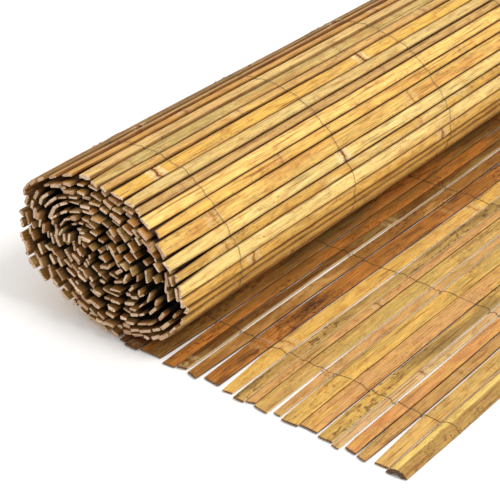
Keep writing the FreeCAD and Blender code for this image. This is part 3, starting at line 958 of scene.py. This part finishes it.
for name in turnNames:
    slats = slatsOf[name] = readSlats(name)
    outermost = name == turnNames[0]
    names = rollShape["outerStreaks"] if outermost else rollShape["innerTones"]
    mainTones = itertools.cycle(rollShape["outerTones"] if outermost else names)
    sink = rollShape["sink"] if outermost else 0.0
    thinning = rollShape["endThinning"] if outermost else rollShape["innerThinning"]
    looks = [rollLook(slat, mainTone, names, thinning, sink) for slat, mainTone in zip(slats, mainTones)]
    if outermost:
        for number, tilt in rollShape["tilted"].items():
            near, far, lean = looks[number]["slope"]
            looks[number].update({"slope": (near, far, tilt), "sink": -rollShape["tiltedLift"]})
            slats[number].update({"tilt": tilt, "lift": rollShape["tiltedLift"]})
    cut = []
    for number, slat in enumerate(slats):
        shift = rollDice.uniform(-1, 1) * rollShape["innerEndShift"]
        if outermost:
            shift = -rollShape["standingEnds"].get(number, 0.0) * millimetre
        cut.append({**slat, "start": slat["start"] + shift, "length": slat["length"] - shift})
    piece = grow(
        slatTree, name + "_split", slatPoints(name + "_points", cut, looks),
        {
            "Blank": outerBlank if outermost else plainBlank,
            "Material": rollBamboo if outermost else secondBamboo if name == turnNames[1] else innerBamboo,
            "Edge Roughness": rollShape["edgeRoughness"], "Chipping": rollShape["chipping"],
            "Bow": rollShape["bow"], "Taper Length": rollShape["taperLength"],
            "Edge Wander": rollShape["edgeWander"],
        },
    )
    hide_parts(name)
    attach(piece, "root")
print("roll cut:", sum(len(slatsOf[name]) for name in turnNames), "slats in", len(turnNames), "turns")

# The arched edge slat
edgeShape = {
    "wall": 4.6 * millimetre,
    "archPoints": 13,
    "hollowPoints": 9,
    "ringStep": 0.006,
    # how far it closes the gap to the last slat of the tail, in mm
    "closed": 0.7,
    "edgeRoughness": 0.5 * millimetre,
}


def makeEdgeBlank(slat):
    # The arch's section: over the bark from right to left, and back under it
    width, height = slat["width"], slat["thickness"]
    radius = (width * width / 4 + height * height) / (2 * height)
    # the hollow's corners take the full side share, so the hollow under the arch is painted in the side tone
    section = []
    for reach, count, order, share in (
        (radius, edgeShape["archPoints"], 1, 0.0), (radius - edgeShape["wall"], edgeShape["hollowPoints"], -1, 1.0)
    ):
        foot = math.asin((radius - height) / reach)
        for step in range(count):
            turned = foot + (math.pi - 2 * foot) * step / (count - 1)
            turned = turned if order > 0 else math.pi - turned
            atFoot = share == 0 and step in (0, count - 1)
            x, z = reach * math.cos(turned), reach * math.sin(turned) - (radius - height)
            section.append((x / width, z / height - 0.5, 0, 0, 0.5 if atFoot else share))
    return makeBlank("edgeBlank", section, ringPlaces(fineEnds, edgeShape["ringStep"]))


edgeSlat = slatsOf["edge_slat"] = readSlats("edge_slat")
edgeSlat[0]["across"], edgeSlat[0]["outward"] = Vector((1, 0, 0)), upAxis.copy()
edgeCut = widened(edgeSlat[0], edgeShape["closed"], 0.0)
edgeBlank = makeEdgeBlank(edgeCut)
edgeLook = {
    "narrowing": (0.0, 1.0 * millimetre, 0.1),
    "slope": (2.0 * millimetre, -2 * millimetre, 0.0),
    "tone": colour(tones["gold"]),
    "streakTone": colour(tones["olive"]),
    "patchTone": colour(tones["brown"]),
    "mottling": 0.8,
    "patchShare": 0.7,
    "wander": 0.2,
    "sink": 0.0,
    "knotShare": 0.6,
    "phase": 0.27,
}
# The edge slat's dark side tone covers the whole hollow under the arch, as painted shade in it
edgeFinish = {
    **bambooFinish, "sideTone": "#3A2410", "rimStrength": 0.95, "blotStrength": 1.0, "bump": 1.0,
    "endTone": "#6A4826", "endTan": "#4A3018",
    # the bright crown lies between two lines along the bark
    "ridgeTone": "#EBCB72",
    "ridgeStrength": 0.85,
    "ridgeStart": -6.0 * millimetre,
    "ridgeEnd": 0.5 * millimetre,
    "ridgeFade": 0.8 * millimetre,
    "ridgeRagged": 4 * millimetre,
    "flankTone": "#A07A3C",
    "flankStrength": 0.8,
    "flankFade": 0.6 * millimetre,
}
edgeBark = makeBamboo("edgeBark", edgeFinish)
piece = grow(
    slatTree, "edge_slat_bark", slatPoints("edge_slat_points", [edgeCut], [edgeLook]),
    {"Blank": edgeBlank, "Material": edgeBark, "Edge Roughness": edgeShape["edgeRoughness"], "Bow": 0.0},
)
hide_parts("edge_slat")
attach(piece, "root")
for blank in (fineBlank, plainBlank, outerBlank, edgeBlank):
    bpy.data.objects.remove(blank)
print("edge slat cut")


# The rows of twisted wire
wireShape = {
    "radius": 0.24 * millimetre,
    "clearance": 0.06 * millimetre,
    # how far from a slat's edges the strand bends, on its bark and under it
    "barkBevel": 0.9 * millimetre,
    "innerBevel": 0.4 * millimetre,
    "gapDip": 1.1 * millimetre,
    "twist": 0.4 * millimetre,
    "drift": 7 * millimetre,
    "jitter": 1.7 * millimetre,
    # how far each row has slipped along the slats on top of the roll
    "slipped": {2: 7 * millimetre, 3: 8 * millimetre, 4: 5 * millimetre},
    "archSteps": 8,
    # slow and fast waves along the slats
    "slowScale": 16.0,
    "fastScale": 75.0,
    "slowGain": 5.0,
    "rowSpread": 60,
    "sides": 6,
    "seed": 8,
}


def makeWireTree():
    tree, begin, end = newTree(
        "twistedWire", "GeometryNodeTree",
        [
            ("Strands", "Geometry", None), ("Material", "Material", None), ("Radius", "Float", 0.35 * millimetre),
            ("Step", "Float", 1.2 * millimetre), ("Wander", "Float", 1.3 * millimetre), ("Row", "Float", 0.0),
            ("Sway", "Float", 2 * millimetre),
        ],
        [("Wires", "Geometry", None)],
    )
    strands = add(tree, "GeometryNodeMeshToCurve", {"Mesh": begin["Strands"]}).outputs["Curve"]
    smooth = add(tree, "GeometryNodeCurveSplineType", {"Curve": strands}, spline_type="CATMULL_ROM").outputs["Curve"]
    fine = add(
        tree, "GeometryNodeResampleCurve", {"Curve": smooth, "Length": begin["Step"]}, mode="LENGTH"
    ).outputs["Curve"]
    position = add(tree, "GeometryNodeInputPosition").outputs[0]

    def wave(scale, row):
        place = vectors(tree, "ADD", scaled(tree, position, scale), row)
        return minus(tree, noiseAt(tree, place, 1.0, 1.0).outputs[0], 0.5)

    slow = wave(wireShape["slowScale"], joined(tree, begin["Row"], 0.0, 0.0))
    fast = wave(wireShape["fastScale"], joined(tree, 0.0, begin["Row"], 0.0))
    shift = timesPlus(tree, slow, wireShape["slowGain"], fast)
    shift = times(tree, shift, begin["Wander"])
    swaying = add(tree, "GeometryNodeGroup", node_tree=sway)
    tree.links.new(position, swaying.inputs["Position"])
    tree.links.new(begin["Sway"], swaying.inputs["Amount"])
    offset = vectors(tree, "ADD", swaying.outputs["Offset"], joined(tree, 0.0, shift, 0.0))
    bent = add(tree, "GeometryNodeSetPosition", {"Geometry": fine, "Offset": offset}).outputs["Geometry"]
    ring = add(
        tree, "GeometryNodeCurvePrimitiveCircle", {"Resolution": wireShape["sides"], "Radius": begin["Radius"]}
    ).outputs["Curve"]
    solid = add(
        tree, "GeometryNodeCurveToMesh", {"Curve": bent, "Profile Curve": ring, "Fill Caps": True}
    ).outputs["Mesh"]
    real = add(tree, "GeometryNodeRealizeInstances", {"Geometry": solid}).outputs["Geometry"]
    painted = add(tree, "GeometryNodeSetMaterial", {"Geometry": real, "Material": begin["Material"]})
    tree.links.new(painted.outputs["Geometry"], end["Wires"])
    return tree


wireLook = {
    "tone": "#8A765E",
    "dullTone": "#5E4832",
    "patchScale": 60.0,
    "patch": (0.4, 0.6),
    # on the bright wire and on its dull patches
    "roughness": (0.4, 0.7),
    "metallic": (0.7, 0.2),
}


def makeWireFinish():
    material = bpy.data.materials.new("dullWire")
    material.use_nodes = True
    tree = material.node_tree
    shader = tree.nodes["Principled BSDF"]
    place = add(tree, "ShaderNodeTexCoord").outputs["Object"]
    patches = noiseAt(tree, place, wireLook["patchScale"], 3.0, 0.6).outputs[0]
    patches = remap(tree, patches, *wireLook["patch"])
    body = blended(tree, patches, colour(wireLook["tone"]), colour(wireLook["dullTone"]))
    tree.links.new(body, shader.inputs["Base Color"])
    tree.links.new(remap(tree, patches, 0.0, 1.0, *wireLook["roughness"]), shader.inputs["Roughness"])
    tree.links.new(remap(tree, patches, 0.0, 1.0, *wireLook["metallic"]), shader.inputs["Metallic"])
    return material


wireTree = makeWireTree()
wireFinish = makeWireFinish()


def strandPoints(slats, side):
    # A strand over the slats' bark (side 1) or under them (side -1), crossing its twin in each gap
    reach = wireShape["radius"] + wireShape["clearance"]
    points = []
    for number, slat in enumerate(slats):
        surface = slat["middle"] + slat["outward"] * side * (slat["thickness"] / 2 + reach)
        half = slat["width"] / 2
        bevel = wireShape["barkBevel"] if side > 0 else wireShape["innerBevel"]
        sideways = wireShape["twist"] * side * (-1) ** number
        for share in (-1, 0, 1):
            stretch = share * (half - bevel)
            raised = slat["outward"] * (slat["lift"] + slat["tilt"] * stretch)
            points.append((surface + slat["across"] * stretch + raised, sideways))
        if number + 1 < len(slats):
            following = slats[number + 1]
            leaving = slat["middle"] + slat["across"] * half
            reached = following["middle"] - following["across"] * following["width"] / 2
            gap = (leaving + reached) / 2
            outward = (slat["outward"] + following["outward"]).normalized()
            thinner = min(slat["thickness"], following["thickness"])
            dip = max(wireShape["radius"], thinner / 2 - wireShape["gapDip"])
            points.append((gap + outward * side * dip, 0.0))
    return points


def alignedSlats(slats):
    # Turns each slat's direction to run on towards the next one
    aligned = []
    for number, slat in enumerate(slats):
        neighbour = slats[number + 1] if number + 1 < len(slats) else slats[number - 1]
        towards = neighbour["middle"] - slat["middle"]
        if number + 1 == len(slats):
            towards.negate()
        turned = 1 if slat["across"].dot(towards) > 0 else -1
        aligned.append({**slat, "across": slat["across"] * turned, "tilt": slat["tilt"] * turned})
    return aligned


tailRun = [slatsOf[name][0] for name in tailLooks]
rollRun = slatsOf[turnNames[0]]
wholeRun = alignedSlats(rollRun[::-1] + tailRun)
arch = edgeSlat[0]


def archPoints(side):
    # Round the edge slat's arch from its inner foot to its outer one, or straight under it
    reach = wireShape["radius"] + wireShape["clearance"]
    left = arch["middle"].x - arch["width"] / 2
    right = arch["middle"].x + arch["width"] / 2
    base = arch["middle"].z - arch["thickness"] / 2
    if side < 0:
        return [(Vector((left, 0, base - reach)), 0.0), (Vector((right, 0, base - reach)), 0.0)]
    radius = (arch["width"] ** 2 / 4 + arch["thickness"] ** 2) / (2 * arch["thickness"])
    foot = math.asin((radius - arch["thickness"]) / radius)
    steps = wireShape["archSteps"]
    points = []
    for step in range(1, steps + 1):
        turned = math.pi - foot - (math.pi - 2 * foot) * step / steps
        points.append((
            Vector((
                arch["middle"].x + (radius + reach) * math.cos(turned), 0,
                base - (radius - arch["thickness"]) + (radius + reach) * math.sin(turned),
            )), 0.0,
        ))
    return points


def drifted(run, slip):
    # The fence was rolled a little askew, so that each row drifts along the slats round the roll
    rollEnd = len(rollRun) * 4  # three points on each slat, and one in the gap after it
    moved = []
    for place, (point, aside) in enumerate(run):
        share = max(0, 1 - place / rollEnd)
        moved.append((point, aside + wireShape["drift"] * share + slip * math.sin(math.pi * share)))
    return moved


overRun = strandPoints(wholeRun, 1) + archPoints(1)
underRun = strandPoints(wholeRun, -1) + archPoints(-1)
rowNames = sorted(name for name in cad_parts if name.startswith("wire_row_"))
wireDice = random.Random(wireShape["seed"])
for number, name in enumerate(rowNames):
    low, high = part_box(name)
    rowY = (low[1] + high[1]) / 2
    mesh = bpy.data.meshes.new(name + "_points")
    places, edges = [], []
    slip = wireShape["slipped"].get(number + 1, 0.0)
    for run in (drifted(overRun, slip), drifted(underRun, slip)):
        first = len(places)
        jitter = [wireDice.uniform(-1, 1) * wireShape["jitter"] for place in run]
        places += [point + slatAxis * (rowY + aside + shift) for (point, aside), shift in zip(run, jitter)]
        edges += [(place, place + 1) for place in range(first, len(places) - 1)]
    mesh.from_pydata(places, edges, [])
    piece = grow(
        wireTree, name + "_twisted", mesh,
        {
            "Material": wireFinish, "Radius": wireShape["radius"], "sharpAngle": 80,
            "Row": wireDice.uniform(0, wireShape["rowSpread"]),
        },
    )
    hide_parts(name)
    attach(piece, "root")
print("wire rows twisted:", len(rowNames))


# Floor, light and camera
def areaLight(name, place, towards, width, power, tint):
    data = bpy.data.lights.new(name, "AREA")
    data.shape = "DISK"
    data.size = width
    data.energy = power
    data.color = tint
    lamp = bpy.data.objects.new(name, data)
    lamp.location = place
    lamp.rotation_euler = (Vector(towards) - Vector(place)).to_track_quat("-Z", "Y").to_euler()
    bpy.context.collection.objects.link(lamp)


studio = {
    "floorHalf": 7.0,
    "floorTone": "#FFFFFF",
    "floorRoughness": 0.9,
    "worldStrength": 0.88,
    "keyPlace": (1.3, -0.2, 2.0),
    "keyWidth": 0.9,
    "keyPower": 29.0,
    "keyTint": (1.0, 0.98, 0.95),
}
floorMesh = bpy.data.meshes.new("studioFloor")
half = studio["floorHalf"]
floorMesh.from_pydata([(-half, -half, 0), (half, -half, 0), (half, half, 0), (-half, half, 0)], [], [(0, 1, 2, 3)])
floor = bpy.data.objects.new("studioFloor", floorMesh)
bpy.context.collection.objects.link(floor)
floorPaint = bpy.data.materials.new("studioWhite")
floorPaint.use_nodes = True
floorShader = floorPaint.node_tree.nodes["Principled BSDF"]
floorShader.inputs["Base Color"].default_value = colour(studio["floorTone"])
floorShader.inputs["Roughness"].default_value = studio["floorRoughness"]
floorMesh.materials.append(floorPaint)
areaLight("keyLight", studio["keyPlace"], (0, 0, 0), studio["keyWidth"], studio["keyPower"], studio["keyTint"])

world = bpy.data.worlds.new("studioWorld")
bpy.context.scene.world = world
world.use_nodes = True
sky = world.node_tree.nodes["Background"]
sky.inputs["Color"].default_value = (1, 1, 1, 1)
sky.inputs["Strength"].default_value = studio["worldStrength"]
bpy.context.scene.view_settings.view_transform = "Standard"

cameraValues = {
    "place": (0.7225, -1.337, 0.817),
    "tiltDown": 31.6,
    "turn": 38.7,
    "lens": 112.9,
    "sensor": 36,
}
lens = bpy.data.cameras.new("photoView")
lens.lens = cameraValues["lens"]
lens.sensor_width = cameraValues["sensor"]
camera = bpy.data.objects.new("photoView", lens)
camera.location = cameraValues["place"]
camera.rotation_euler = (math.radians(90 - cameraValues["tiltDown"]), 0, math.radians(cameraValues["turn"]))
bpy.context.collection.objects.link(camera)
bpy.context.scene.camera = camera
print("studio set")
